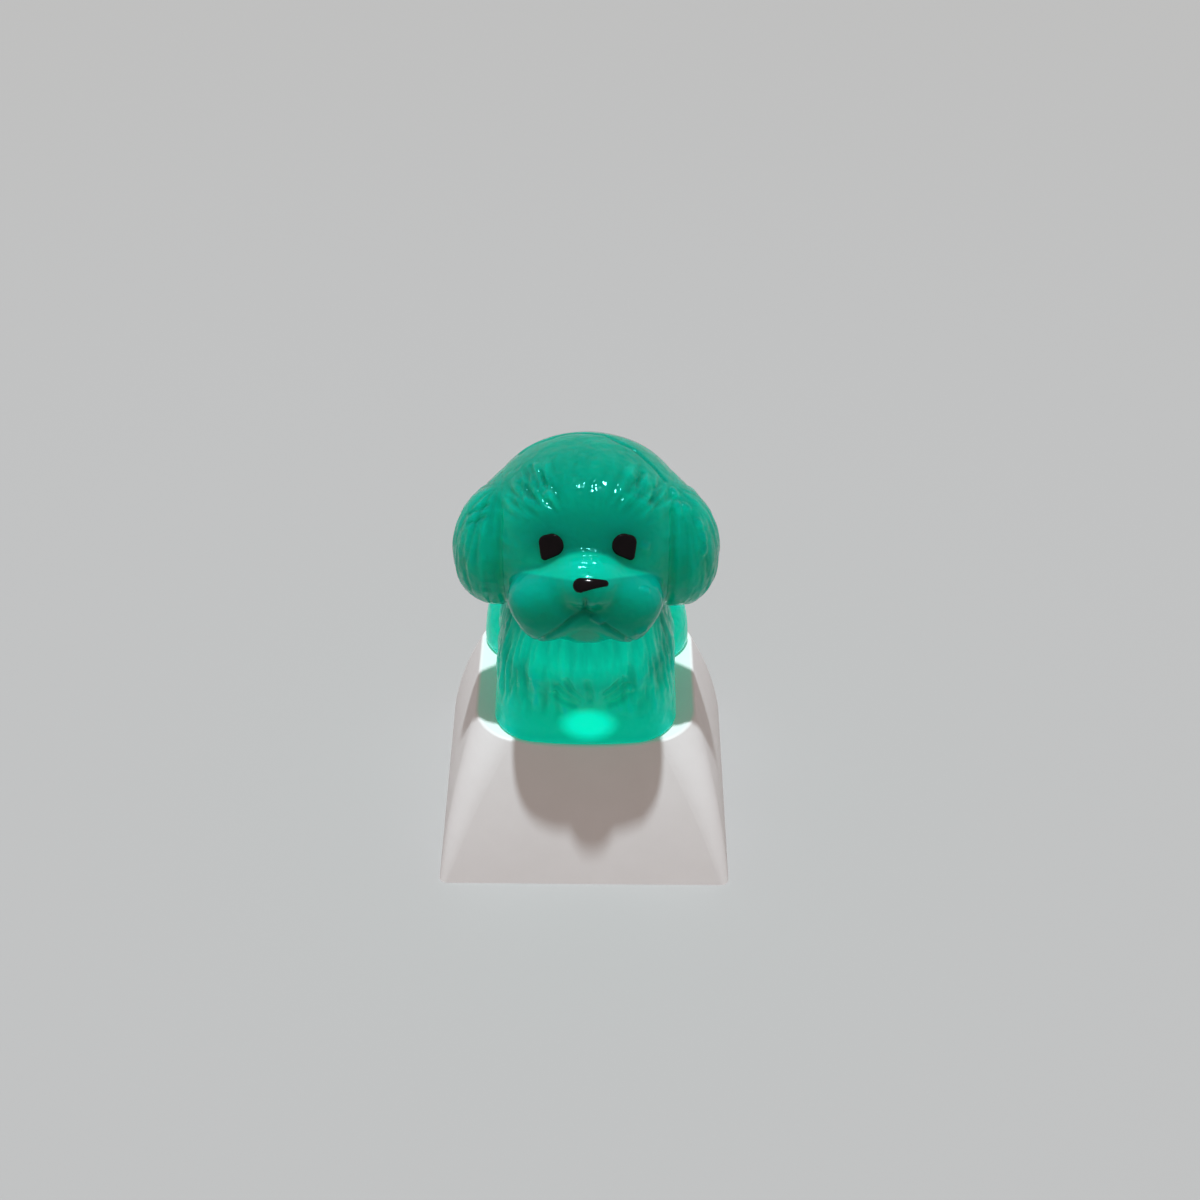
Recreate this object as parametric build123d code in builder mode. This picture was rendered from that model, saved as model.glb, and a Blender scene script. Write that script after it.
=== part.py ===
from build123d import *
import os
from math import cos, radians, sin, sqrt

# All sizes are in millimetres and all turns in degrees.
# The keycap stands on its rim, +Z is up and the puppy looks along -Y, towards the typist.

# Keycap shell
base_side = 18.1
base_corner = 0.5
deck_width = 13.7
deck_depth = 13.4
deck_setback = 1.5
deck_corner = 2.7
deck_height = 8.5
deck_lean = 5.0
dish_depth = 0.8
side_bulge = 0.3
end_bulge = 0.2
deck_edge_round = 0.2

# Hollow underside with the stem post and its ribs
wall = 1.25
roof = 1.5
cavity_corner = 1.0
stem_diameter = 5.5
stem_recess = 1.0
socket_length = 4.1
socket_width_across = 1.35
socket_width_along = 1.15
socket_depth = 4.0
rib_thickness = 0.9
rib_drop = 1.0

# Puppy: overall place on the deck
figure_rise = 18.2
chest_overhang = 0.3

# Puppy: chest, from the foot on the deck up to the neck
chest_width = 11.2
chest_depth = 9.8
chest_corner = 2.6
shoulder_width = 10.6
shoulder_depth = 9.2
shoulder_corner = 3.2
shoulder_lean = 0.3
shoulder_rise = 5.0
neck_width = 8.4
neck_depth = 7.4
neck_corner = 3.4
neck_lean = 1.3
neck_rise = 9.5

# Puppy: lobes of the seat and the chest, each as width, depth and height,
# with its place measured back from the chest's front and up from the deck
back_size = (9.2, 9.0, 9.4)
back_place = (7.0, 5.1)
rump_size = (10.6, 8.0, 10.0)
rump_place = (9.7, 1.9)
haunch_size = (4.8, 5.0, 9.8)
haunch_place = (11.1, 0.2)
haunch_span = 8.4
tail_size = (1.9, 2.2, 3.6)
tail_place = (13.2, 4.4)
tail_turn = 25.0
bib_size = (8.8, 3.8, 6.8)
bib_place = (1.8, 5.1)

# Puppy: head, with the places of its lobes measured from the middle of the skull
skull_size = (12.3, 11.0, 12.2)
skull_back = 5.0
hood_size = (12.7, 8.4, 12.2)
hood_back = 1.5
hood_drop = 0.4
ear_size = (5.6, 5.7, 8.1)
ear_span = 10.4
ear_reach = 0.6
ear_drop = 0.25
ear_turn = 5.0
ear_tilt = 8.0
bridge_size = (4.9, 5.1, 3.0)
bridge_reach = 4.5
bridge_rise = 0.6
snout_size = (2.5, 2.9, 2.1)
snout_reach = 6.2
snout_rise = 0.9
jowl_size = (4.6, 4.6, 4.6)
jowl_span = 4.2
jowl_reach = 4.85
jowl_drop = 1.1
jowl_turn = 8.0
jowl_tilt = 28.0
lip_size = (4.4, 4.4, 4.2)
lip_reach = 4.45
lip_drop = 0.9
chin_size = (5.4, 4.0, 3.4)
chin_reach = 4.4
chin_drop = 2.5

# Enamel drops of the eyes and the nose
eye_width = 1.45
eye_height = 1.5
eye_round = 0.66
eye_corner = 0.3
eye_span = 4.15
eye_rise = 2.35
eye_turn = 12.0
nose_width = 2.1
nose_height = 1.0
nose_tip = 0.2
nose_rise = 0.72
drop_seat = 0.6
drop_proud = 0.15
drop_bevel = 0.08

# Places worked out from the sizes above
deck_front = deck_setback - deck_depth / 2
chest_front = deck_front - chest_overhang
roof_height = deck_height - dish_depth - roof
skull_middle = (0, chest_front + skull_back, deck_height + figure_rise - skull_size[2] / 2)
snout_middle = (0, skull_middle[1] - snout_reach, skull_middle[2] + snout_rise)
deck_rearward = (0, cos(radians(deck_lean)), -sin(radians(deck_lean)))
dish_plane = Plane((0, deck_setback, deck_height), x_dir=(-1, 0, 0), z_dir=deck_rearward)


# Plane across the shell, level at the foot and leaning with the deck at the top
def shell_plane(height):
    share = height / deck_height
    lean = radians(deck_lean * share)
    return Plane((0, deck_setback * share, height), x_dir=(1, 0, 0), z_dir=(0, sin(lean), cos(lean)))


# Width, depth and corner of the shell's outside at a height, with its slightly swelling sides
def shell_size(height):
    share = height / deck_height
    swell = 8 * share * (1 - share)
    width = base_side + (deck_width - base_side) * share + swell * side_bulge
    depth = base_side + (deck_depth - base_side) * share + swell * end_bulge
    return width, depth, base_corner + (deck_corner - base_corner) * share


# Area between the dish and a line above it, or below it where the reach is negative
def dish_section(reach):
    edge = deck_width / 2
    with BuildSketch(dish_plane) as section:
        with BuildLine():
            ThreePointArc((-edge, 0), (0, -dish_depth), (edge, 0))
            Polyline((edge, 0), (edge, reach), (-edge, reach), (-edge, 0))
        make_face()
    return section.sketch


# Ellipsoid of a full width, depth and height, made as a rear and a front half
def lobe(centre, size, turn=(0, 0, 0)):
    halves = []
    for facing in (0, 180):
        cup = Sphere(0.5, arc_size3=180, rotation=(0, 0, facing), align=None, mode=Mode.PRIVATE)
        halves.append(Location(centre, turn) * scale(cup, by=size, about=(0, 0, 0), mode=Mode.PRIVATE))
    add(halves, clean=False)


# Plane that touches the front of an ellipsoid at a side and a height measured from its middle
def front_plane(centre, size, side, rise):
    half_width, half_depth, half_height = (extent / 2 for extent in size)
    forward = half_depth * sqrt(1 - (side / half_width) ** 2 - (rise / half_height) ** 2)
    outward = (side / half_width ** 2, -forward / half_depth ** 2, rise / half_height ** 2)
    touch = (centre[0] + side, centre[1] - forward, centre[2] + rise)
    return Plane(touch, x_dir=(-outward[1], outward[0], 0), z_dir=outward)


# White keycap: shell, dished deck, hollow underside, stem post with its cross socket, and ribs
with BuildPart() as keycap_base:
    for height in (0, deck_height / 2, deck_height):
        with BuildSketch(shell_plane(height)):
            RectangleRounded(*shell_size(height))
    loft()

    extrude(dish_section(dish_depth), amount=deck_depth, both=True, mode=Mode.SUBTRACT)
    deck = keycap_base.faces().filter_by(GeomType.CYLINDER).sort_by(Axis.Z)[-1]
    fillet(deck.edges(), deck_edge_round)

    for height in (0, roof_height / 2, roof_height):
        outer_width, outer_depth = shell_size(height)[:2]
        with BuildSketch(shell_plane(height)):
            RectangleRounded(outer_width - 2 * wall, outer_depth - 2 * wall, cavity_corner)
    loft(mode=Mode.SUBTRACT)

    with BuildSketch(Plane.XY.offset(stem_recess)):
        Circle(stem_diameter / 2)
    extrude(amount=roof_height + roof / 2 - stem_recess)

    rib_width, rib_depth = shell_size(roof_height)[:2]
    with BuildSketch(Plane.XY.offset(roof_height - rib_drop)):
        Rectangle(rib_width - wall, rib_thickness)
        with Locations((0, deck_setback * roof_height / deck_height)):
            Rectangle(rib_thickness, rib_depth - wall)
    extrude(amount=rib_drop + roof / 2)

    with BuildSketch(Plane.XY.offset(stem_recess)):
        Rectangle(socket_length, socket_width_across)
        Rectangle(socket_width_along, socket_length)
    extrude(amount=socket_depth, mode=Mode.SUBTRACT)

# Left eye, as the typist sees it: straight outside, rounded towards the muzzle
eye_face = front_plane(skull_middle, skull_size, -eye_span / 2, eye_rise).rotated((0, 0, eye_turn))
with BuildPart() as left_eye:
    with BuildSketch(eye_face.offset(-drop_seat)):
        corner_side = eye_corner - eye_width / 2
        corner_rise = eye_height / 2 - eye_corner
        with Locations((corner_side, corner_rise), (corner_side, -corner_rise)):
            Circle(eye_corner)
        with Locations((eye_width / 2 - eye_round, 0)):
            Circle(eye_round)
        make_hull()
    extrude(amount=drop_seat + drop_proud)
    chamfer(faces().sort_by(Axis.Y)[0].edges(), drop_bevel)

# Right eye: the left one mirrored
with BuildPart() as right_eye:
    mirror(left_eye.part, about=Plane.YZ)

# Nose: drop with a blunt left end that thins out to the right
with BuildPart() as nose:
    with BuildSketch(front_plane(snout_middle, snout_size, 0, nose_rise).offset(-drop_seat)):
        with Locations((nose_height / 2 - nose_width / 2, 0)):
            Circle(nose_height / 2)
        with Locations((nose_width / 2 - nose_tip, nose_height / 2 - nose_tip)):
            Circle(nose_tip)
        make_hull()
    extrude(amount=drop_seat + drop_proud)
    chamfer(faces().sort_by(Axis.Y)[0].edges(), drop_bevel)

# Green resin puppy, cast in one piece and trimmed to the dish it sits on
with BuildPart() as puppy_figure:
    chest_levels = (
        (-deck_setback, chest_width, chest_depth, chest_corner, 0),
        (shoulder_rise, shoulder_width, shoulder_depth, shoulder_corner, shoulder_lean),
        (neck_rise, neck_width, neck_depth, neck_corner, neck_lean),
    )
    for rise, width, depth, corner, lean in chest_levels:
        with BuildSketch(Plane((0, chest_front + lean + depth / 2, deck_height + rise))):
            RectangleRounded(width, depth, corner)
    loft()
    lobe((0, chest_front + back_place[0], deck_height + back_place[1]), back_size)
    lobe((0, chest_front + rump_place[0], deck_height + rump_place[1]), rump_size)
    lobe((0, chest_front + tail_place[0], deck_height + tail_place[1]), tail_size, (-tail_turn, 0, 0))
    lobe((0, chest_front + bib_place[0], deck_height + bib_place[1]), bib_size)
    lobe(skull_middle, skull_size)
    lobe((0, skull_middle[1] + hood_back, skull_middle[2] - hood_drop), hood_size)
    lobe((0, skull_middle[1] - bridge_reach, skull_middle[2] + bridge_rise), bridge_size)
    lobe(snout_middle, snout_size)
    lobe((0, skull_middle[1] - lip_reach, skull_middle[2] - lip_drop), lip_size)
    lobe((0, skull_middle[1] - chin_reach, skull_middle[2] - chin_drop), chin_size)
    for side in (-1, 1):
        haunch_side = side * haunch_span / 2
        lobe((haunch_side, chest_front + haunch_place[0], deck_height + haunch_place[1]), haunch_size)
    for side in (-1, 1):
        jowl_middle = (side * jowl_span / 2, skull_middle[1] - jowl_reach, skull_middle[2] - jowl_drop)
        lobe(jowl_middle, jowl_size, (0, side * jowl_tilt, side * jowl_turn))
    for side in (-1, 1):
        ear_middle = (side * ear_span / 2, skull_middle[1] - ear_reach, skull_middle[2] - ear_drop)
        lobe(ear_middle, ear_size, (0, -side * ear_tilt, side * ear_turn))
    extrude(dish_section(-deck_height), amount=deck_depth, both=True, mode=Mode.SUBTRACT)
    for drop in (left_eye, right_eye, nose):
        add(drop.part, mode=Mode.SUBTRACT)

os.makedirs("parts", exist_ok=True)
pieces = {
    "keycap_base": keycap_base,
    "puppy_figure": puppy_figure,
    "left_eye": left_eye,
    "right_eye": right_eye,
    "nose": nose,
}
for label, piece in pieces.items():
    piece.part.label = label
    export_step(piece.part, f"parts/{label}.step")
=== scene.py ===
import math
import bpy
import numpy as np
from mathutils import Matrix, Vector


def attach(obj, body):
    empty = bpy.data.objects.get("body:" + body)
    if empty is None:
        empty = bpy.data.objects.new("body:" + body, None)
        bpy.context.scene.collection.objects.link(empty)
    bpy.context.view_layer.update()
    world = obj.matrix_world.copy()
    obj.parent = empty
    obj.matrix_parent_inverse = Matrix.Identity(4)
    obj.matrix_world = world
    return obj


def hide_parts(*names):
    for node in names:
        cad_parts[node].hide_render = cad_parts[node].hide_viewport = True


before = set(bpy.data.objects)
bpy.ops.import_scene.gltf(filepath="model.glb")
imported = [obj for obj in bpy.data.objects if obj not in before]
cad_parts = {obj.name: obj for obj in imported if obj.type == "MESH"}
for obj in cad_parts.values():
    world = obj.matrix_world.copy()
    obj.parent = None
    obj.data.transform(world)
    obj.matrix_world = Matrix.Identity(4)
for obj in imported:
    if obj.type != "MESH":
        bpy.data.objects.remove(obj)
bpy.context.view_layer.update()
mm = 0.001    # sculpting is done in millimetres, the scene is in metres
print("frame loaded:", sorted(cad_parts))


# node trees

def addNode(tree, kind, settings=None, inputs=None):
    node = tree.nodes.new(kind)
    for name, value in (settings or {}).items():
        setattr(node, name, value)
    for name, value in (inputs or {}).items():
        if isinstance(value, bpy.types.NodeSocket):
            tree.links.new(value, node.inputs[name])
        else:
            node.inputs[name].default_value = value
    return node


def calc(tree, operation, first, second=0.0):
    return addNode(tree, "ShaderNodeMath", {"operation": operation}, {0: first, 1: second}).outputs[0]


def scaled(tree, vector, factor):
    inputs = {0: vector, "Scale": factor}
    return addNode(tree, "ShaderNodeVectorMath", {"operation": "SCALE"}, inputs).outputs[0]


def noise(tree, coords, scale, detail):
    inputs = {"Vector": coords, "Scale": scale, "Detail": detail}
    return addNode(tree, "ShaderNodeTexNoise", {"noise_dimensions": "3D"}, inputs).outputs["Fac"]


def attribute(tree, name):
    return addNode(tree, "ShaderNodeAttribute", {"attribute_name": name}).outputs["Fac"]


def mixColour(tree, factor, low, high):
    node = addNode(tree, "ShaderNodeMix", {"data_type": "RGBA"})
    for socket, value in zip((node.inputs[0], node.inputs[6], node.inputs[7]), (factor, low, high)):
        if isinstance(value, bpy.types.NodeSocket):
            tree.links.new(value, socket)
        else:
            socket.default_value = value if isinstance(value, float) else (*value, 1.0)
    return node.outputs[2]


def spread(tree, value, low, high, fromLow=0.3, fromHigh=0.7):    # a noise's usual range by default
    inputs = {"Value": value, "From Min": fromLow, "From Max": fromHigh, "To Min": low, "To Max": high}
    return addNode(tree, "ShaderNodeMapRange", None, inputs).outputs["Result"]


def blob(tree, coords, centre, size):    # 1 in the middle of a soft ellipsoid, 0 outside it
    scale = [1.0 / (length * mm) for length in size]
    shift = [-place / length for place, length in zip(centre, size)]
    inputs = {"Vector": coords, "Location": shift, "Scale": scale}
    mapped = addNode(tree, "ShaderNodeMapping", None, inputs).outputs[0]
    ball = addNode(tree, "ShaderNodeTexGradient", {"gradient_type": "SPHERICAL"}, {"Vector": mapped})
    return spread(tree, ball.outputs["Fac"], 0.0, 1.0, 0.0, 0.5)


def bumps(tree, height, depth, strength=1.0, under=None):    # depth in mm, laid over other bumps if given
    inputs = {"Height": height, "Strength": strength, "Distance": depth * mm}
    if under is not None:
        inputs["Normal"] = under
    return addNode(tree, "ShaderNodeBump", None, inputs).outputs["Normal"]


def seenPlainly(tree):    # 1 for rays from the camera, from gloss and through clear bodies
    path = addNode(tree, "ShaderNodeLightPath").outputs
    seen = calc(tree, "MAXIMUM", path["Is Camera Ray"], path["Is Glossy Ray"])
    return calc(tree, "MAXIMUM", seen, path["Is Transmission Ray"])


def newMaterial(name):
    material = bpy.data.materials.new(name)
    material.use_nodes = True
    tree = material.node_tree
    coords = addNode(tree, "ShaderNodeTexCoord").outputs["Object"]
    return material, tree, tree.nodes["Principled BSDF"], coords


# materials

whitePlastic = {
    "low": (0.85, 0.845, 0.84), "high": (0.91, 0.91, 0.91), "mottle": 420.0,
    "roughness": (0.42, 0.58), "grain": 7000.0, "grainDepth": 0.006, "grainStrength": 0.25,
}


def makeWhitePlastic():
    look = whitePlastic
    material, tree, shader, coords = newMaterial("whitePlasticFinish")
    mottle = noise(tree, coords, look["mottle"], 4.0)
    grain = noise(tree, coords, look["grain"], 2.0)
    tree.links.new(mixColour(tree, mottle, look["low"], look["high"]), shader.inputs["Base Color"])
    tree.links.new(spread(tree, grain, *look["roughness"]), shader.inputs["Roughness"])
    tree.links.new(bumps(tree, grain, look["grainDepth"], look["grainStrength"]), shader.inputs["Normal"])
    return material


greenResin = {
    # painted shading: colours at the foot and on the head, where the resin faces down and where it faces up
    # to the lamp
    "footDown": (0.0, 0.90, 0.62), "footUp": (0.0, 0.48, 0.335),
    "headDown": (0.0, 0.56, 0.385), "headUp": (0.0, 0.30, 0.208),
    "facing": (0.0, 0.9), "fade": (11.0, 17.5), "cloud": 300.0, "cloudDepth": 0.25,
    # colours of single places, each place as centre and size, and of marked parts: painted light on the
    # muzzle's top shelf, painted shade on the jowls' fronts and the brow, a chin painted paler than the
    # shaded jowls, and painted light and shade on strands
    "shelf": (0.0, 0.61, 0.41), "jowl": (0.0, 0.40, 0.285), "strandPaintedShade": 0.25,
    "paintedBrowShade": (0.0, 0.31, 0.215), "paintedBrowShadePlace": ((0.0, -5.3, 23.9), (5.5, 3.0, 2.2)),
    "chin": (0.0, 0.53, 0.37), "chinPlace": ((0.0, -6.3, 18.1), (3.4, 2.6, 1.7)),
    # light that comes out low on the chest, below the head and towards the foot
    "glow": (0.0, 0.95, 0.64), "glowPlace": ((0.2, -5.3, 9.95), (2.0, 2.5, 1.35)), "glowLevel": 0.5,
    "throatPlace": ((0.0, -4.6, 15.4), (6.5, 3.0, 2.6)), "throatLevel": 0.27,
    "seep": 0.17, "seepFade": (8.0, 16.5),
    # scattering: share, depth in metres, reach of red, green and blue, and how far light runs on
    "weight": 0.9, "depth": 0.009, "reach": (0.1, 1.0, 0.8), "forward": 0.6,
    "index": 1.5, "sheen": 0.28, "sheenTint": (0.16, 1.0, 0.93),
    # surface, with pimpled places that glint
    "roughness": (0.06, 0.15), "grain": 1500.0, "grainDepth": 0.10, "pimple": 1700.0, "pimpleDepth": 0.09,
    "pimpled": (
        ((-0.4, -2.6, 26.3), (1.9, 1.4, 1.2)),
        ((2.9, -3.3, 25.2), (1.5, 1.0, 1.0)),
        ((0.0, -6.0, 22.8), (1.5, 1.3, 0.9)),
        ((6.5, -2.6, 22.6), (1.4, 1.0, 2.0)),
        ((0.9, -7.4, 19.6), (0.9, 1.0, 0.6)),
        ((3.6, -5.2, 16.6), (1.2, 2.2, 1.4)),
    ),
}


def resinColour(tree, coords, height):
    look = greenResin
    cloud = spread(tree, noise(tree, coords, look["cloud"], 3.0), 0.0, 1.0)
    clouded = calc(tree, "MULTIPLY", calc(tree, "SUBTRACT", cloud, 0.5), look["cloudDepth"])
    # painted shade: deeper where the resin faces up, to the lamp, and paler where it faces down
    upward = calc(tree, "ADD", spread(tree, attribute(tree, "facing"), 0.0, 1.0, *look["facing"]), clouded)
    foot = mixColour(tree, upward, look["footDown"], look["footUp"])
    crown = mixColour(tree, upward, look["headDown"], look["headUp"])
    # painted light: paler towards the foot, for light gathered through the resin
    towardsHead = spread(tree, height, 0.0, 1.0, *(level * mm for level in look["fade"]))
    resin = mixColour(tree, towardsHead, foot, crown)
    # painted shade over the brow and the front of the face
    resin = mixColour(tree, blob(tree, coords, *look["paintedBrowShadePlace"]), resin, look["paintedBrowShade"])
    # painted light on the muzzle's top shelf and painted shade on the jowls' fronts
    for name in ("shelf", "jowl"):
        resin = mixColour(tree, attribute(tree, name), resin, look[name])
    # the chin is painted paler than the jowls' painted shade
    resin = mixColour(tree, blob(tree, coords, *look["chinPlace"]), resin, look["chin"])
    # painted highlight on raised strands, painted shade in sunk ones and in cut lines
    strand = calc(tree, "MULTIPLY", attribute(tree, "strand"), look["strandPaintedShade"])
    return scaled(tree, resin, calc(tree, "ADD", strand, 1.0))


def makeGreenResin():
    look = greenResin
    material, tree, shader, coords = newMaterial("greenResinFinish")
    height = addNode(tree, "ShaderNodeSeparateXYZ", None, {0: coords}).outputs[2]
    gather = blob(tree, coords, *look["glowPlace"])
    colour = mixColour(tree, gather, resinColour(tree, coords, height), look["glow"])
    tree.links.new(colour, shader.inputs["Base Color"])
    seep = spread(tree, height, look["seep"], 0.0, *(level * mm for level in look["seepFade"]))
    throat = calc(tree, "MULTIPLY", blob(tree, coords, *look["throatPlace"]), look["throatLevel"])
    bright = calc(tree, "MULTIPLY", gather, look["glowLevel"])
    shine = calc(tree, "ADD", bright, calc(tree, "ADD", seep, throat))
    tree.links.new(shine, shader.inputs["Emission Strength"])
    grain = noise(tree, coords, look["grain"], 1.0)
    tree.links.new(spread(tree, grain, *look["roughness"]), shader.inputs["Roughness"])
    pimpled = 0.0
    for centre, size in look["pimpled"]:
        pimpled = calc(tree, "ADD", pimpled, blob(tree, coords, centre, size))
    pimple = noise(tree, coords, look["pimple"], 1.0)
    surface = bumps(tree, pimple, look["pimpleDepth"], pimpled, bumps(tree, grain, look["grainDepth"]))
    tree.links.new(surface, shader.inputs["Normal"])
    shader.subsurface_method = "RANDOM_WALK"
    shader.inputs["Subsurface Weight"].default_value = look["weight"]
    shader.inputs["Subsurface Radius"].default_value = look["reach"]
    shader.inputs["Subsurface Scale"].default_value = look["depth"]
    shader.inputs["Subsurface Anisotropy"].default_value = look["forward"]
    shader.inputs["Emission Color"].default_value = (*look["glow"], 1.0)
    shader.inputs["IOR"].default_value = look["index"]
    shader.inputs["Specular IOR Level"].default_value = look["sheen"]
    shader.inputs["Specular Tint"].default_value = (*look["sheenTint"], 1.0)
    return material


blackEnamel = {
    "low": (0.001, 0.001, 0.001), "high": (0.010, 0.005, 0.006), "sheen": 0.09,
    "roughness": (0.05, 0.12), "streak": 1500.0, "streakDepth": 0.02, "streakStrength": 0.2,
}


def makeBlackEnamel():
    look = blackEnamel
    material, tree, shader, coords = newMaterial("blackEnamelFinish")
    streak = noise(tree, coords, look["streak"], 3.0)
    tree.links.new(mixColour(tree, streak, look["low"], look["high"]), shader.inputs["Base Color"])
    tree.links.new(spread(tree, streak, *look["roughness"]), shader.inputs["Roughness"])
    tree.links.new(bumps(tree, streak, look["streakDepth"], look["streakStrength"]), shader.inputs["Normal"])
    shader.inputs["Specular IOR Level"].default_value = look["sheen"]
    return material


finishes = {
    "white_plastic": makeWhitePlastic(),
    "green_resin": makeGreenResin(),
    "black_enamel": makeBlackEnamel(),
}
print("materials made:", len(finishes))


# sculpting with signed distances: below zero is inside the piece

farAway = 9.0    # further than any line or outline that is looked for
tiny = 1e-6


def lobe(spot, centre, radii, turn=0.0, tilt=0.0, power=2.0):    # ellipsoid, boxier with more power
    radii = np.array(radii, np.float32)
    spin = Matrix.Rotation(math.radians(turn), 3, "Z") @ Matrix.Rotation(math.radians(tilt), 3, "Y")
    share = np.abs((spot - np.array(centre, np.float32)) @ np.array(spin, np.float32)) / radii + tiny
    near = (share ** power).sum(-1) ** (1 / power)
    steep = np.sqrt(((share ** (power - 1) / radii) ** 2).sum(-1)) * near ** (1 - power)
    return (near - 1) / steep


def melt(first, second, softness):    # soft union
    nearness = np.maximum(softness - np.abs(first - second), 0) / softness
    return np.minimum(first, second) - nearness ** 2 * softness / 4


def trim(first, second, softness):    # soft intersection
    return -melt(-first, -second, softness)


def ease(value, low, high):    # 0 below low, 1 above high
    share = np.clip((value - low) / (high - low), 0, 1)
    return share * share * (3 - 2 * share)


def mirrored(spot):
    side = spot * 1
    side[..., 0] = np.abs(side[..., 0])
    return side


def strokeDistance(spot, path):    # distance to a line through some points
    nearest = np.full(spot.shape[:-1], farAway, np.float32)
    path = np.array(path, np.float32)
    for start, end in zip(path[:-1], path[1:]):
        along = end - start
        share = np.clip(((spot - start) @ along) / (along @ along), 0, 1)
        away = spot - start - share[..., None] * along
        nearest = np.minimum(nearest, np.sqrt((away ** 2).sum(-1)))
    return nearest


def slope(points, field, reach=0.02):
    points = points.astype(np.float32)
    shifts = np.eye(3, dtype=np.float32) * reach
    return np.stack([field(points + shift) - field(points - shift) for shift in shifts], -1) / (2 * reach)


def settle(points, field, step, rounds=3, leastRise=0.2):    # draws each point onto the surface
    for _ in range(rounds):
        rise = slope(points, field)
        steepness = np.maximum((rise ** 2).sum(-1), leastRise)[:, None]
        pull = field(points.astype(np.float32))[:, None] * rise / steepness
        points = points - np.clip(pull, -step, step)
    return points


def fieldMesh(field, low, high, step):
    # one point in each cell that the surface crosses, and one face round each grid edge that it crosses
    axes = [np.arange(start, stop + step, step, dtype=np.float32) for start, stop in zip(low, high)]
    shape = np.array([len(axis) for axis in axes])
    y, z = np.meshgrid(axes[1], axes[2], indexing="ij")
    value = np.stack([field(np.stack([np.full_like(y, x), y, z], -1)) for x in axes[0]])
    inside = value < 0
    filled = np.zeros(shape - 1, int)
    for corner in np.ndindex(2, 2, 2):
        filled += inside[tuple(slice(start, start + size - 1) for start, size in zip(corner, shape))]
    cell = np.argwhere((filled > 0) & (filled < 8))
    number = np.full(shape, -1)
    number[tuple(cell.T)] = np.arange(len(cell))
    total = np.zeros((len(cell), 3))
    count = np.zeros((len(cell), 1))
    faces = []
    for axis in range(3):
        ahead, side, other = np.roll(np.eye(3, dtype=int), -axis, axis=0)
        for corner in (0 * side, side, other, side + other):
            first = value[tuple((cell + corner).T)]
            second = value[tuple((cell + corner + ahead).T)]
            crossed = (first < 0) != (second < 0)
            share = np.where(crossed, first / np.where(crossed, first - second, 1), 0)[:, None]
            total += np.where(crossed[:, None], cell + corner + share * ahead, 0)
            count += crossed[:, None]
        edge = np.argwhere(np.diff(inside, axis=axis))
        edge = edge[((edge - side - other) >= -ahead).all(1)]
        shifts = (0 * side, side, side + other, other)
        ring = np.stack([number[tuple((edge - shift).T)] for shift in shifts], 1)
        rising = inside[tuple(edge.T)]
        faces.append(np.where(rising[:, None], ring, ring[:, ::-1]))
    return settle(np.array(low) + step * total / count, field, step), np.concatenate(faces)


def frontOf(field, x, z, start=-12.0, stop=0.0, tries=4000):    # first resin on a line towards +Y
    depths = np.linspace(start, stop, tries, dtype=np.float32)
    line = np.stack([np.full_like(depths, x), depths, np.full_like(depths, z)], -1)
    return float(depths[np.argmax(field(line) < 0)])


def makeObject(name, points, faces, slot):
    mesh = bpy.data.meshes.new(name)
    mesh.from_pydata((points * mm).tolist(), [], faces.tolist())
    mesh.polygons.foreach_set("use_smooth", np.ones(len(mesh.polygons), bool))
    mesh.materials.append(finishes[slot])
    piece = bpy.data.objects.new(name, mesh)
    bpy.context.scene.collection.objects.link(piece)
    return piece


# the puppy, in millimetres: each lobe is centre, radii, turn, tilt, power

deck = {"middle": (0.0, 1.5, 8.5), "lean": 5.0, "width": 13.7, "dish": 0.8, "gap": 0.01}
body = {
    # height, half width, half depth, corner, front
    "levels": (
        (7.0, 5.68, 4.98, 2.6, -5.58),
        (8.7, 5.68, 4.98, 2.6, -5.58),
        (9.2, 5.57, 4.87, 2.65, -5.45),
        (13.5, 5.3, 4.6, 3.2, -5.15),
        (18.0, 4.2, 3.7, 3.4, -4.15),
    ),
    "top": 18.6, "topRound": 1.0, "footRound": 0.3, "blend": 0.5,
    "back": ((0.0, 1.55, 13.6), (4.6, 4.5, 4.7)),
    "rump": ((0.0, 4.25, 10.4), (5.3, 4.0, 5.0)),
    "haunch": ((4.2, 5.6, 8.7), (2.4, 2.5, 4.9)),
    "tail": ((0.0, 7.75, 12.9), (0.95, 1.1, 1.8)),
    "bib": ((0.0, -3.75, 13.6), (4.4, 1.9, 3.4)),
    "tuft": ((0.0, -4.6, 13.2), (1.9, 1.05, 2.5)),
}
head = {
    "hood": ((0.0, 1.0, 20.2), (6.3, 4.2, 6.1)),
    "ear": ((5.2, -1.1, 20.35), (2.75, 2.8, 4.0), 5.0, -8.0, 2.05),
    "dome": ((0.0, -0.5, 20.6), (6.1, 5.5, 6.05), 0.0, 0.0, 2.2),
    "bridge": ((0.0, -4.9, 21.35), (2.1, 2.6, 1.68), 0.0, 0.0, 2.3),
    "tip": ((0.2, -6.6, 21.5), (1.5, 1.5, 1.0), 0.0, 0.0, 2.4),
    "jowl": ((2.1, -5.35, 19.5), (2.2, 2.25, 2.25), 8.0, 28.0, 2.8),
    "chin": ((0.0, -4.9, 18.1), (2.7, 2.0, 1.7)),
    "hoodBlend": 1.6, "domeBlend": 0.6, "jowlBlend": 1.4, "muzzleBlend": 0.8,
    "faceBlend": 0.35, "chinBlend": 0.5, "neckBlend": 0.25,
    # crease where the ears meet the face, lost between two heights
    "crease": 0.16, "creaseBlend": 0.07, "creaseSpread": 0.7, "creaseFade": (23.4, 24.6),
}
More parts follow.
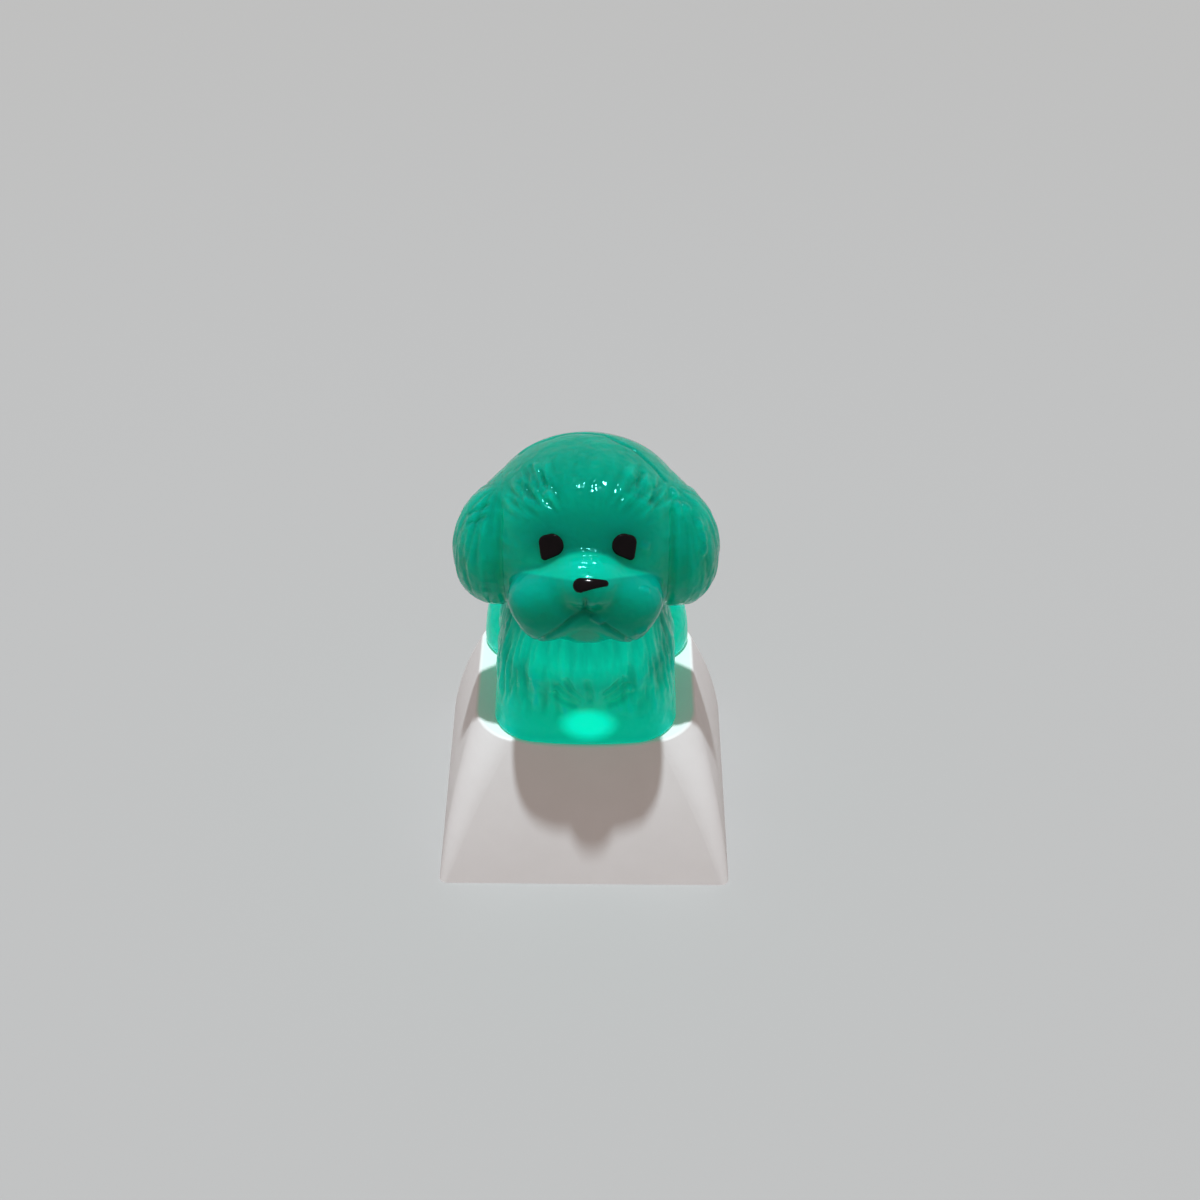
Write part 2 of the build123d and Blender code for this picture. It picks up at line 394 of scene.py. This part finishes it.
mask = {    # the smooth face inside the hair, by angles about an axis through the brow
    "centre": (0.0, -0.3, 20.7), "axis": (0.0, -0.93, 0.36), "top": 0.52, "side": 0.34,
    "edge": (-0.22, 0.12), "sink": 0.07,
}
shelf = {    # plane through the edge between the muzzle's top and its jowls: way up and height
    "up": (-0.145, 0.589, 0.796), "height": 13.2, "edge": 0.12, "rim": (0.0, 0.25),
}
mouth = {
    "corner": ((0.0, 19.95), (0.7, 19.6), (1.6, 18.8), (2.4, 18.0), (3.0, 17.35)),
    "cleft": ((0.0, 21.4), (0.0, 19.95)),
    "width": {"corner": 0.15, "cleft": 0.10}, "blend": 0.1,
}


def dishField(spot):    # below zero above the dish of the deck
    lean = math.radians(deck["lean"])
    reach = (deck["width"] ** 2 / 4 + deck["dish"] ** 2) / (2 * deck["dish"])
    away = spot - np.array(deck["middle"], np.float32)
    height = away[..., 1] * math.sin(lean) + away[..., 2] * math.cos(lean)
    return np.hypot(away[..., 0], height + deck["dish"] - reach) - reach + deck["gap"]


def chestField(spot):
    heights, *sizes = zip(*body["levels"])
    width, depth, corner, front = (np.interp(spot[..., 2], heights, size) for size in sizes)
    across = np.abs(spot[..., 0]) - width + corner
    along = np.abs(spot[..., 1] - front - depth) - depth + corner
    outside = np.hypot(np.maximum(across, 0), np.maximum(along, 0))
    side = outside + np.minimum(np.maximum(across, along), 0) - corner
    return trim(side, spot[..., 2] - body["top"], body["topRound"]).astype(np.float32)


def faceAngles(spot):    # angle from the brow's axis, and angle round it from straight up
    away = spot - np.array(mask["centre"], np.float32)
    axis = np.array(mask["axis"]) / np.linalg.norm(mask["axis"])
    up = np.array((0, axis[2], -axis[1]))
    ahead = away @ axis
    sideways, upward = away[..., 0], away @ up
    return np.arctan2(np.hypot(sideways, upward), ahead), np.arctan2(sideways, upward)


def hairLine(spot):    # 0 on the smooth face, 1 in the hair round it
    fromAxis, around = faceAngles(spot)
    edge = mask["top"] + mask["side"] * np.sin(around) ** 2
    return ease(fromAxis - edge, *mask["edge"])


def skullField(spot):    # the head without its muzzle
    drape = melt(lobe(spot, *head["hood"]), lobe(spot, *head["ear"]), head["hoodBlend"])
    dome = lobe(spot, *head["dome"]) + mask["sink"] * (1 - hairLine(spot))
    skull = melt(drape, dome, head["domeBlend"])
    crease = head["crease"] * (1 - ease(spot[..., 2], *head["creaseFade"]))
    fromCrease = np.hypot(skull, head["creaseSpread"] * (drape - dome))
    return trim(skull, crease - fromCrease, head["creaseBlend"])


def muzzleField(spot):
    side = mirrored(spot)
    other = side * np.array((-1, 1, 1), np.float32)
    jowls = melt(lobe(side, *head["jowl"]), lobe(other, *head["jowl"]), head["jowlBlend"])
    muzzle = melt(jowls, lobe(side, *head["chin"]), head["chinBlend"])
    for name in ("bridge", "tip"):
        muzzle = melt(muzzle, lobe(spot, *head[name]), head["muzzleBlend"])
    return muzzle


def faceField(spot):    # the head without its cut lines and folds
    return melt(skullField(mirrored(spot)), muzzleField(spot), head["faceBlend"])


def torsoField(spot):
    side = mirrored(spot)
    torso = chestField(side)
    for name in ("back", "rump", "haunch", "tail", "bib", "tuft"):
        torso = melt(torso, lobe(side, *body[name]), body["blend"])
    return trim(torso, dishField(spot), body["footRound"])


strokes = {    # hand-cut lines in the fur: side and height on the chest, rough places on the head
    "chest": (
        ((-1.2, 13.5), (-0.8, 12.7), (-0.3, 12.1)), ((-1.9, 12.3), (-1.3, 11.7), (-0.6, 11.4)),
        ((-1.6, 12.9), (-1.1, 12.2), (-0.5, 11.7)), ((2.3, 13.4), (1.8, 12.9), (1.3, 12.4)),
        ((2.6, 12.3), (2.0, 11.7), (1.5, 11.5)), ((2.5, 12.9), (1.9, 12.3), (1.4, 11.9)),
        ((0.1, 13.4), (0.3, 12.6), (0.3, 11.9)),
    ),
    "head": (
        # the crest, from the left ear to the right one
        ((-4.0, 1.3, 25.3), (-3.2, 1.6, 25.6), (-2.2, 1.5, 26.0), (-1.3, 1.9, 26.2), (-0.1, 1.8, 26.2)),
        ((-0.1, 1.8, 26.2), (1.0, 1.6, 26.3), (1.9, 0.8, 26.3), (2.6, 0.6, 26.1), (3.4, -0.1, 25.8)),
        ((3.4, -0.1, 25.8), (4.0, -0.5, 25.4), (4.6, -1.0, 24.9)),
        # the brow
        ((-3.3, -1.0, 25.9), (-3.0, -1.9, 25.8), (-2.8, -2.7, 25.7)),
        ((-2.7, -1.8, 26.0), (-2.3, -2.9, 25.8)), ((-3.9, -2.0, 25.3), (-3.7, -3.0, 25.1)),
        ((-3.0, -3.3, 25.2), (-2.8, -3.7, 25.1)), ((-3.5, -2.4, 25.4), (-3.2, -3.2, 25.2)),
        ((3.3, -1.6, 25.8), (3.0, -2.6, 25.6)), ((3.9, -2.2, 25.2), (3.7, -3.1, 24.9)),
        # the top of the left ear
        ((-6.8, -2.0, 23.1), (-5.8, -2.1, 23.9)), ((-6.9, -2.4, 22.7), (-5.9, -2.6, 23.4)),
    ),
    "cut": {"chest": (0.2, 0.2), "head": (0.12, 0.12)},    # width and blend
    "reach": 0.6, "shade": (-0.3, -0.1), "furShade": 0.55,
}
ridges = {    # small folds and lumps that the lamp catches, as rough places on the head
    "fold": (
        ((-1.0, -5.6, 22.9), (-0.2, -5.7, 23.0), (0.6, -5.6, 22.9)),
        ((-0.6, -6.4, 22.6), (0.1, -6.5, 22.7), (0.7, -6.4, 22.6)),
        ((2.1, -3.3, 25.6), (2.4, -3.3, 25.5)), ((2.8, -3.4, 25.2), (3.1, -3.3, 25.1)),
        ((3.4, -3.4, 24.8), (3.7, -3.4, 24.7)),
    ),
    "lump": (
        ((5.1, -1.4, 24.5), (5.2, -1.7, 24.4)), ((5.3, -2.3, 24.1), (5.4, -2.5, 23.9)),
        ((5.7, -2.1, 23.8), (5.9, -2.2, 23.7)), ((6.5, -2.5, 23.0), (6.7, -2.6, 22.8)),
        ((6.8, -2.8, 22.3), (6.9, -2.9, 22.0)), ((6.9, -3.0, 21.6), (6.9, -3.1, 21.3)),
        ((3.3, -6.7, 21.1), (3.5, -6.6, 21.0)), ((0.5, -7.4, 19.6), (0.9, -7.5, 19.5)),
        ((3.1, -7.2, 18.6), (3.3, -7.0, 18.7)), ((2.7, -4.1, 22.5), (2.9, -4.0, 22.4)),
        ((-2.3, -3.5, 25.4), (-2.1, -3.5, 25.4)),
    ),
    "form": {
        "fold": {"radius": 0.32, "sink": 0.22, "blend": 0.1},
        "lump": {"radius": 0.26, "sink": 0.10, "blend": 0.08},
    },
}


def layFront(field, line):    # lays side and height on the front of a form
    return [(x, frontOf(field, x, z), z) for x, z in line]


def layPath(line, sink=0.0, stride=0.4, reach=0.2):    # draws a line onto the head, or below its surface
    path = settle(np.array(line), faceField, stride)
    rise = slope(path, faceField, reach)
    return (path - sink * rise / np.linalg.norm(rise, axis=1)[:, None]).tolist()


mouthPaths = {name: layFront(faceField, mouth[name]) for name in ("corner", "cleft")}
strokePaths = {
    "chest": [layFront(torsoField, line) for line in strokes["chest"]],
    "head": [layPath(line) for line in strokes["head"]],
}
ridgePaths = {
    name: [layPath(line, form["sink"]) for line in ridges[name]] for name, form in ridges["form"].items()
}


def nearPath(spot, path):
    low = np.min(path, axis=0) - strokes["reach"]
    high = np.max(path, axis=0) + strokes["reach"]
    return np.all((spot > low) & (spot < high), axis=-1)


def cutStrokes(spot, field, name):
    width, blend = strokes["cut"][name]
    for path in strokePaths[name]:
        near = nearPath(spot, path)
        if near.any():
            field[near] = trim(field[near], width - strokeDistance(spot[near], path), blend)
    return field


def raiseRidges(spot, field):
    for name, form in ridges["form"].items():
        for path in ridgePaths[name]:
            near = nearPath(spot, path)
            if near.any():
                ridge = strokeDistance(spot[near], path) - form["radius"]
                field[near] = melt(field[near], ridge, form["blend"])
    return field


def puppyField(spot):
    side = mirrored(spot)
    carved = faceField(spot)
    for name, path in mouthPaths.items():
        carved = trim(carved, mouth["width"][name] - strokeDistance(side, path), mouth["blend"])
    carved = raiseRidges(spot, cutStrokes(spot, carved, "head"))
    return melt(carved, cutStrokes(spot, torsoField(spot), "chest"), head["neckBlend"])


sculpt = {"low": (-8.4, -8.6, 7.2), "high": (8.4, 9.3, 27.2), "step": 0.122, "quickStep": 0.2}
step = sculpt["step"]
points, faces = fieldMesh(puppyField, sculpt["low"], sculpt["high"], step)
puppy = makeObject("puppySculpt", points, faces, "green_resin")
print("puppy sculpted:", len(points), "points,", 2 * len(faces), "triangles")


# hair, combed over the sculpt

hair = {
    # pitch across, length along, depth, seed
    "headHair": (0.50, 2.4, 0.36, 3.0),
    "backHair": (0.60, 3.2, 0.34, 21.0),
    "earHair": (0.55, 3.6, 0.20, 7.0),
    "bodyHair": (0.46, 3.0, 0.42, 12.0),
    "lift": 0.12,    # rise of a strand that shows its full tint
    "smooth": 0.25,    # reach over which the bare surface's way up is taken
}
combing = {    # where the hair grows, each range from bare to full, and millimetres for each radian
    "ear": (-0.2, 0.5), "earOuter": (-0.6, 1.4), "earInner": 0.25, "earSpan": 2.6,
    "clump": 0.8, "clumpEdge": (-0.45, -0.2), "clumpRest": 0.22,
    "crest": (-1.25, -1.0), "muzzle": (0.1, 0.6), "headSpan": (5.5, 6.0),
    "back": (2.6, 4.4), "backPole": 1.0, "backOffEar": 0.6, "backSpan": (5.0, 6.0),
    "body": (-0.1, 0.3), "foot": (9.8, 12.0), "bodyAxis": 0.8, "bodySpan": 5.4,
    "tuft": (0.3, 12.4), "tuftFlat": 1.2, "tuftEdge": (-2.6, -1.6), "tuftFront": (3.0, 4.0), "tuftCalm": 0.7,
}


def combHair(points):    # across, along and weight of each kind of hair at each point
    spot = points.astype(np.float32)
    side = mirrored(spot)
    onBody = ease(faceField(spot) - torsoField(spot), *combing["body"])
    # the ears are smooth in front and stranded towards their outer edge
    ear, dome, hood = (lobe(side, *head[name]) for name in ("ear", "dome", "hood"))
    away = side - np.array(head["ear"][0], np.float32)
    outer = combing["earInner"] + (1 - combing["earInner"]) * ease(away[:, 0], *combing["earOuter"])
    onEar = ease(np.minimum(dome, hood) - ear, *combing["ear"]) * (1 - onBody) * outer
    earAround = np.arctan2(away[:, 0], -away[:, 1]) * np.sign(spot[:, 0])
    # the brow has a clump of strands on each side and is smoother between and below them
    fromAxis, around = faceAngles(spot)
    fromClump = np.abs(np.abs(around) - combing["clump"])
    clump = combing["clumpRest"] + (1 - combing["clumpRest"]) * ease(-fromClump, *combing["clumpEdge"])
    crest = ease(-fromAxis, *combing["crest"])
    muzzle = np.minimum(lobe(side, *head["jowl"]), lobe(side, *head["bridge"]))
    offMuzzle = ease(muzzle, *combing["muzzle"])
    onHead = hairLine(spot) * clump * crest * (1 - onEar) * (1 - onBody) * offMuzzle
    # behind, strands run down from the crown
    behind = spot - np.array(head["hood"][0], np.float32)
    backAround = np.arctan2(behind[:, 0], behind[:, 1] + combing["backPole"])
    fromTop = np.arctan2(np.hypot(behind[:, 0], behind[:, 1]), behind[:, 2])
    onBack = ease(spot[:, 1], *combing["back"]) * (1 - onBody) * (1 - combing["backOffEar"] * onEar)
    # the chest's tuft is calmer, and the foot is smooth
    bodyAround = np.arctan2(spot[:, 0], combing["bodyAxis"] - spot[:, 1])
    tuftSide, tuftHeight = combing["tuft"]
    fromTuft = np.hypot(spot[:, 0] - tuftSide, (spot[:, 2] - tuftHeight) * combing["tuftFlat"])
    inTuft = ease(-fromTuft, *combing["tuftEdge"]) * ease(-spot[:, 1], *combing["tuftFront"])
    onChest = onBody * ease(spot[:, 2], *combing["foot"]) * (1 - combing["tuftCalm"] * inTuft)
    return {
        "headHair": (around * combing["headSpan"][0], fromAxis * combing["headSpan"][1], onHead),
        "backHair": (backAround * combing["backSpan"][0], fromTop * combing["backSpan"][1], onBack),
        "earHair": (earAround * combing["earSpan"], spot[:, 2], onEar),
        "bodyHair": (bodyAround * combing["bodySpan"], spot[:, 2], onChest),
    }


def hairTree():    # lifts and sinks the surface in strands
    tree = bpy.data.node_groups.new("combedHair", "GeometryNodeTree")
    sockets = {
        "Geometry": "NodeSocketGeometry", "Comb": "NodeSocketString", "Pitch": "NodeSocketFloat",
        "Length": "NodeSocketFloat", "Depth": "NodeSocketFloat", "Seed": "NodeSocketFloat",
        "Finish": "NodeSocketMaterial",
    }
    for name, kind in sockets.items():
        tree.interface.new_socket(name, in_out="INPUT", socket_type=kind)
    tree.interface.new_socket("Geometry", in_out="OUTPUT", socket_type="NodeSocketGeometry")
    given = addNode(tree, "NodeGroupInput").outputs
    kind = {"data_type": "FLOAT_VECTOR"}
    comb = addNode(tree, "GeometryNodeInputNamedAttribute", kind, {"Name": given["Comb"]})
    parts = addNode(tree, "ShaderNodeSeparateXYZ", None, {0: comb.outputs["Attribute"]}).outputs
    across = calc(tree, "DIVIDE", parts[0], given["Pitch"])
    along = calc(tree, "DIVIDE", parts[1], given["Length"])
    flow = addNode(tree, "ShaderNodeCombineXYZ", None, {0: across, 1: along, 2: given["Seed"]}).outputs[0]
    strand = calc(tree, "SUBTRACT", noise(tree, flow, 1.0, 2.0), 0.5)
    lift = calc(tree, "MULTIPLY", calc(tree, "MULTIPLY", strand, 2.0), given["Depth"])
    lift = calc(tree, "MULTIPLY", lift, parts[2])
    normal = addNode(tree, "GeometryNodeInputNormal").outputs[0]
    inputs = {"Geometry": given["Geometry"], "Offset": scaled(tree, normal, lift)}
    moved = addNode(tree, "GeometryNodeSetPosition", None, inputs).outputs[0]
    real = addNode(tree, "GeometryNodeRealizeInstances", None, {"Geometry": moved}).outputs[0]
    inputs = {"Geometry": real, "Material": given["Finish"]}
    dressed = addNode(tree, "GeometryNodeSetMaterial", None, inputs).outputs[0]
    addNode(tree, "NodeGroupOutput", None, {0: dressed})
    return tree


def addHair(piece, points):
    tree = hairTree()
    sockets = {item.name: item.identifier for item in tree.interface.items_tree if item.in_out == "INPUT"}
    combs = combHair(points)
    for name, comb in combs.items():
        layer = piece.data.attributes.new(name, "FLOAT_VECTOR", "POINT")
        layer.data.foreach_set("vector", np.stack(comb, -1).astype(np.float32).ravel())
        pitch, length, depth, seed = hair[name]
        modifier = piece.modifiers.new(name, "NODES")
        modifier.node_group = tree
        values = {"Comb": name, "Pitch": pitch, "Length": length, "Depth": depth * mm, "Seed": seed,
                  "Finish": finishes["green_resin"]}
        for label, value in values.items():
            modifier[sockets[label]] = value
    combed = bpy.data.meshes.new_from_object(piece.evaluated_get(bpy.context.evaluated_depsgraph_get()))
    piece.modifiers.clear()
    piece.data = combed
    for name in combs:
        combed.attributes.remove(combed.attributes[name])
    print("hair combed:", len(combs), "layers")


def markResin(mesh, points):    # marks that the resin's colour follows
    spot = points.astype(np.float32)
    side = mirrored(spot)
    rise = slope(points, puppyField, hair["smooth"])
    rise /= np.linalg.norm(rise, axis=1)[:, None]
    moved = np.empty(3 * len(points), np.float32)
    mesh.attributes["position"].data.foreach_get("vector", moved)
    lifted = ((moved.reshape(-1, 3) / mm - points) * rise).sum(1)
    above = side @ np.array(shelf["up"], np.float32) - shelf["height"]
    onMuzzle = ease(skullField(side) - muzzleField(spot), *shelf["rim"])
    onShelf = ease(above, -shelf["edge"], shelf["edge"])
    # painted shade: the resin is darker in the cut lines
    nearest = strokeDistance(side, mouthPaths["corner"])
    for path in strokePaths["head"] + strokePaths["chest"] + [mouthPaths["cleft"]]:
        near = nearPath(spot, path)
        nearest[near] = np.minimum(nearest[near], strokeDistance(spot[near], path))
    paintedGrooveShade = ease(-nearest, *strokes["shade"]) * np.where(onMuzzle > 0.5, 1.0, strokes["furShade"])
    # marks for painted light and shade: the way up, raised strands and cut lines, the lit shelf and the
    # shaded jowls
    marks = {
        "facing": rise[:, 2],
        "strand": np.clip(lifted / hair["lift"], -1, 1) - paintedGrooveShade,
        "shelf": onMuzzle * onShelf,
        "jowl": onMuzzle * (1 - onShelf),
    }
    for name, values in marks.items():
        layer = mesh.attributes.new(name, "FLOAT", "POINT")
        layer.data.foreach_set("value", values.astype(np.float32))
    print("resin marked:", ", ".join(marks))


addHair(puppy, points)
markResin(puppy.data, points)


# enamel drops, laid on the face

drops = {
    "left_eye": (-1.97, 23.08), "right_eye": (2.2, 23.08), "eyeTurn": 12.0,
    # centre and radius of each round corner, outer ones first
    "eye": (((-0.30, 0.28), 0.46), ((-0.50, -0.54), 0.24), ((0.05, 0.12), 0.68)),
    "nose": (0.27, 22.22), "noseTurn": -4.0,
    "muzzle": (((-0.55, 0.0), 0.44), ((0.87, 0.22), 0.2)),
    "proud": 0.13, "seat": 0.6, "back": 1.0, "edge": 0.16,
    "step": 0.04, "room": 1.6, "smooth": 0.2,
}


def hullDistance(flat, circles):    # distance to circles joined by their outer tangents
    nearest = np.full(flat.shape[:-1], farAway)
    turns = []
    for (start, first), (end, second) in zip(circles, circles[1:] + circles[:1]):
        along = np.subtract(end, start)
        away = flat - start
        length = np.hypot(*along)
        ahead = away @ along / length
        across = np.abs(away @ (-along[1], along[0])) / length
        taper = (first - second) / length
        flank = math.sqrt(1 - taper * taper)
        reach = flank * ahead - taper * across
        straight = flank * across + taper * ahead - first
        ends = np.where(reach < 0, np.hypot(ahead, across) - first, np.hypot(ahead - length, across) - second)
        nearest = np.minimum(nearest, np.where((reach < 0) | (reach > flank * length), ends, straight))
        turns.append(along[0] * away[..., 1] - along[1] * away[..., 0])
    within = np.all(np.array(turns) > 0, axis=0) | np.all(np.array(turns) < 0, axis=0)
    return np.where(within, np.minimum(nearest, -circles[0][1]), nearest)


def makeDrop(name, corners, turn, carrier):
    x, z = drops[name]
    spot = np.array([x, frontOf(faceField, x, z), z])
    level = carrier(spot.astype(np.float32))
    outward = Vector(slope(spot[None], carrier, drops["smooth"])[0]).normalized()
    right = Matrix.Rotation(math.radians(turn), 3, outward) @ Vector((0, 0, 1)).cross(outward).normalized()
    right, up, ahead = np.array(right), np.array(outward.cross(right)), np.array(outward)

    def dropField(place):
        away = place - spot
        depth = carrier(place.astype(np.float32)) - level
        outline = hullDistance(np.stack([away @ right, away @ up], -1), corners)
        skin = trim(outline, depth - drops["proud"], drops["edge"])
        return np.maximum(skin, np.maximum(-depth - drops["seat"], -away @ ahead - drops["back"]))

    points, faces = fieldMesh(dropField, spot - drops["room"], spot + drops["room"], drops["step"])
    print(name, "laid:", 2 * len(faces), "triangles")
    return makeObject(name + "Drop", points, faces, "black_enamel")


pieces = {}
for side, name in ((-1, "left_eye"), (1, "right_eye")):
    corners = [((-side * x, z), radius) for (x, z), radius in drops["eye"]]
    pieces[name] = makeDrop(name, corners, -side * drops["eyeTurn"], lambda spot: lobe(spot, *head["dome"]))
corners = list(drops["muzzle"])
pieces["nose"] = makeDrop("nose", corners, drops["noseTurn"], lambda spot: lobe(spot, *head["tip"]))
pieces["puppy_figure"] = puppy

for node, piece in pieces.items():
    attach(piece, "root")
    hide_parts(node)

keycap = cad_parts["keycap_base"]
keycap.data.materials.clear()
keycap.data.materials.append(finishes["white_plastic"])
print("pieces placed:", len(pieces) + 1)


# stage, light and camera

studio = {    # in metres
    "floorSize": 3.0, "floorColour": (0.47, 0.47, 0.465), "floorBounce": (0.29, 0.24, 0.222),
    "floorFade": (0.06, 0.25), "floorRoughness": 0.9, "floorSheen": 0.1,
    "keyHeight": 0.7, "keyShift": (-0.01, 0.0), "keySize": 0.022,
    "keyLevel": 0.84, "keyColour": (0.95, 1.04, 1.09),
    "ambient": (0.35, 0.285, 0.26), "backColour": (0.545, 0.542, 0.535),
}


def makeFloor():
    half = studio["floorSize"] / 2
    corners = [(-half, -half, 0), (half, -half, 0), (half, half, 0), (-half, half, 0)]
    mesh = bpy.data.meshes.new("studioFloor")
    mesh.from_pydata(corners, [], [(0, 1, 2, 3)])
    floor = bpy.data.objects.new("studioFloor", mesh)
    bpy.context.scene.collection.objects.link(floor)
    material, tree, shader, coords = newMaterial("paleFloor")
    seen = seenPlainly(tree)
    colour = mixColour(tree, seen, studio["floorBounce"], studio["floorColour"])
    tree.links.new(colour, shader.inputs["Base Color"])
    shader.inputs["Roughness"].default_value = studio["floorRoughness"]
    shader.inputs["Specular IOR Level"].default_value = studio["floorSheen"]
    # away from the object the floor keeps one tone, as the background does
    away = addNode(tree, "ShaderNodeVectorMath", {"operation": "LENGTH"}, {0: coords}).outputs["Value"]
    plain = calc(tree, "MULTIPLY", seen, spread(tree, away, 0.0, 1.0, *studio["floorFade"]))
    tone = addNode(tree, "ShaderNodeEmission", None, {"Color": (*studio["backColour"], 1.0)}).outputs[0]
    mixed = addNode(tree, "ShaderNodeMixShader", None, {0: plain, 1: shader.outputs[0], 2: tone}).outputs[0]
    tree.links.new(mixed, tree.nodes["Material Output"].inputs["Surface"])
    mesh.materials.append(material)


def makeLight():
    lamp = bpy.data.lights.new("overheadLamp", "AREA")
    lamp.shape = "DISK"
    lamp.size = studio["keySize"]
    lamp.energy = studio["keyLevel"] * math.pi ** 2 * studio["keyHeight"] ** 2
    lamp.color = studio["keyColour"]
    holder = bpy.data.objects.new("overheadLamp", lamp)
    bpy.context.scene.collection.objects.link(holder)
    holder.location = (*studio["keyShift"], studio["keyHeight"])
    world = bpy.data.worlds.new("studioWorld")
    world.use_nodes = True
    tree = world.node_tree
    colour = mixColour(tree, seenPlainly(tree), studio["ambient"], studio["backColour"])
    tree.links.new(colour, tree.nodes["Background"].inputs["Color"])
    bpy.context.scene.world = world


view = {    # frame, focal length and aim in pixels, places in millimetres
    "frame": 1200, "focal": 2190.66, "elevation": 36.5, "roll": 0.5,
    "aim": (0.0, -9.05, 0.0), "aimPixel": (584.0, 884.0), "scale": 16.0,    # pixels per mm at the aim
    "sensor": 36.0, "clip": 0.005,
}


def makeCamera():
    lift, roll = math.radians(view["elevation"]), math.radians(view["roll"])
    back = Vector((0, -math.cos(lift), math.sin(lift)))
    level = Vector((1, 0, 0))
    rise = back.cross(level)
    right = math.cos(roll) * level + math.sin(roll) * rise
    up = math.cos(roll) * rise - math.sin(roll) * level
    offRight = (view["aimPixel"][0] - view["frame"] / 2) / view["scale"]
    offDown = (view["aimPixel"][1] - view["frame"] / 2) / view["scale"]
    place = Vector(view["aim"]) + back * view["focal"] / view["scale"] + up * offDown - right * offRight
    lens = bpy.data.cameras.new("photoView")
    lens.sensor_width = view["sensor"]
    lens.lens = lens.sensor_width * view["focal"] / view["frame"]
    lens.clip_start = view["clip"]
    camera = bpy.data.objects.new("photoView", lens)
    bpy.context.scene.collection.objects.link(camera)
    axes = Matrix((right, up, back)).transposed().to_4x4()
    camera.matrix_world = Matrix.Translation(place * mm) @ axes
    bpy.context.scene.camera = camera


makeFloor()
makeLight()
makeCamera()
bpy.context.scene.view_settings.view_transform = "Standard"
print("stage, light and camera set")
